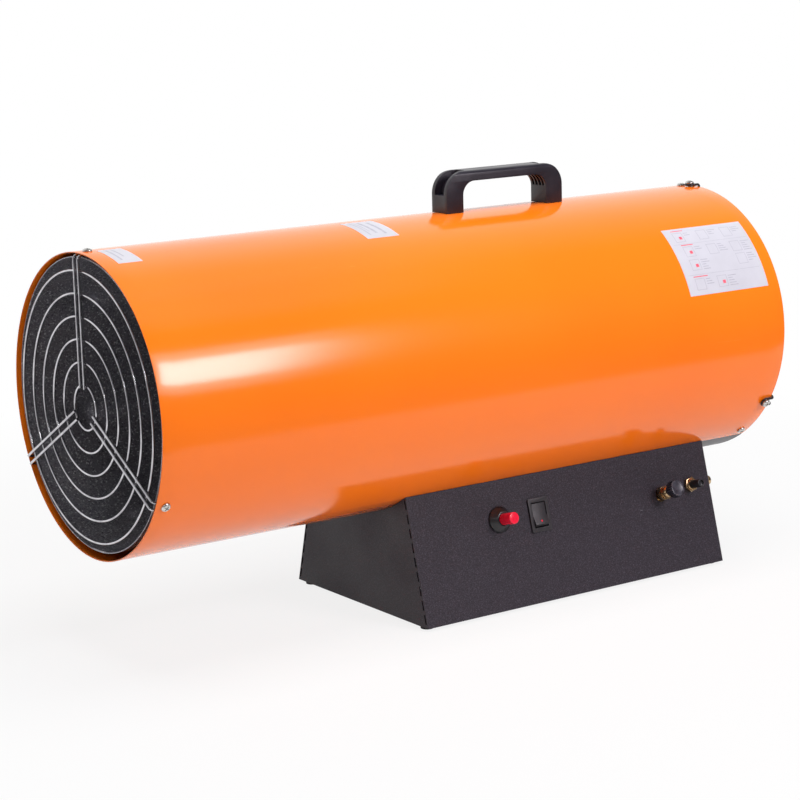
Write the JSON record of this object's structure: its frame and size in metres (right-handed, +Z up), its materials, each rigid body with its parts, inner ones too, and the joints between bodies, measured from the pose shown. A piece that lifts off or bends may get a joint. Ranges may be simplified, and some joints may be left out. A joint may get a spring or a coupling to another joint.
{
  "type": "gas forced air heater",
  "caption": "Portable gas-fired forced air heater: round ducted casing with wire guards, axial fan, burner and combustion tube on a folded sheet base with gas and ignition controls.",
  "frame": {"origin": "on the floor, midway along the length over the guards and in the middle plane", "axes": "+X along the casing from outlet to inlet, -Y towards the controls, +Z up"},
  "size_m": [0.7334, 0.28, 0.42],
  "materials": {
    "casing_paint": "gloss orange powder coat",
    "base_paint": "fine-textured charcoal powder coat",
    "dark_paint": "satin dark grey",
    "tube_steel": "heat-darkened aluminised sheet",
    "chrome_wire": "bright plated wire",
    "dark_wire": "black coated wire",
    "zinc": "zinc plated",
    "motor_aluminium": "cast and pressed, satin",
    "brass": "turned brass",
    "copper": "drawn copper tube",
    "insulator_glaze": "glazed white porcelain",
    "black_plastic": "satin black",
    "handle_plastic": "moulded, satin charcoal",
    "pale_plastic": "natural moulding",
    "red_plastic": "gloss red",
    "black_rubber": "matt black"
  },
  "bodies": {
    "heater": {"outer_shell": "casing_paint", "underbody_plate": "dark_paint", "underbody_screws": "zinc", "chamber": "tube_steel", "front_guard": "chrome_wire", "front_guard_screws": "zinc", "rear_guard": "dark_wire", "rear_guard_screws": "zinc", "earth_screw": "zinc", "motor_plate": "dark_paint", "motor_screws": "zinc", "motor_can": "motor_aluminium", "motor_front_cap": "motor_aluminium", "motor_rear_cap": "motor_aluminium", "motor_bearings": "brass", "diffuser_plate": "tube_steel", "diffuser_rivets": "zinc", "burner_cup": "tube_steel", "gas_nozzle": "brass", "nozzle_holder": "brass", "electrode_insulator": "insulator_glaze", "electrode_rod": "zinc", "thermocouple_probe": "zinc", "probe_bracket": "zinc", "overheat_thermostat": "black_plastic", "thermostat_bracket": "zinc", "gas_pipe": "copper", "pipe_nuts": "brass", "grommets": "black_rubber", "base_housing": "base_paint", "base_floor": "base_paint", "base_screws": "zinc", "feet": "black_rubber", "igniter_body": "black_plastic", "igniter_bezel": "black_plastic", "switch_housing": "black_plastic", "switch_terminals": "brass", "regulator_body": "brass", "regulator_nut": "brass", "safety_valve_body": "brass", "safety_valve_nut": "brass", "inlet_union": "brass", "valve_link": "brass", "terminal_block": "pale_plastic", "terminal_screws": "brass", "cable_gland": "black_plastic", "gland_nut": "black_plastic", "handle": "handle_plastic", "handle_screws": "zinc"},
    "fan": {"fan_blades": "motor_aluminium", "fan_hub": "motor_aluminium", "fan_nut": "zinc", "motor_shaft": "zinc"},
    "igniter_key": {"igniter_button": "red_plastic"},
    "rocker": {"switch_rocker": "black_plastic"},
    "regulator": {"regulator_knob": "black_plastic", "regulator_spindle": "brass"},
    "safety_key": {"safety_valve_button": "black_plastic"}
  },
  "joints": [
    {"name": "fan_spin", "type": "hinge", "parent": "heater", "child": "fan", "pos_m": [0.2365, 0, 0.24], "axis": [1, 0, 0], "continuous": true},
    {"name": "igniter_press", "type": "slide", "parent": "heater", "child": "igniter_key", "axis": [0, 0.966, -0.2584], "range_m": [0, 0.006], "stiffness_N_per_m": 500, "springref_m": -0.002},
    {"name": "rocker_tilt", "type": "hinge", "parent": "heater", "child": "rocker", "pos_m": [0.0788, -0.08856, 0.08463], "axis": [1, 0, 0], "range_deg": [0, 20]},
    {"name": "regulator_turn", "type": "hinge", "parent": "heater", "child": "regulator", "pos_m": [0.2373, -0.09277, 0.08048], "axis": [0, -0.9094, 0.4159], "range_deg": [0, 270]},
    {"name": "safety_press", "type": "slide", "parent": "heater", "child": "safety_key", "axis": [0, 0.966, -0.2584], "range_m": [0, 0.004], "stiffness_N_per_m": 400, "springref_m": -0.002}
  ]
}
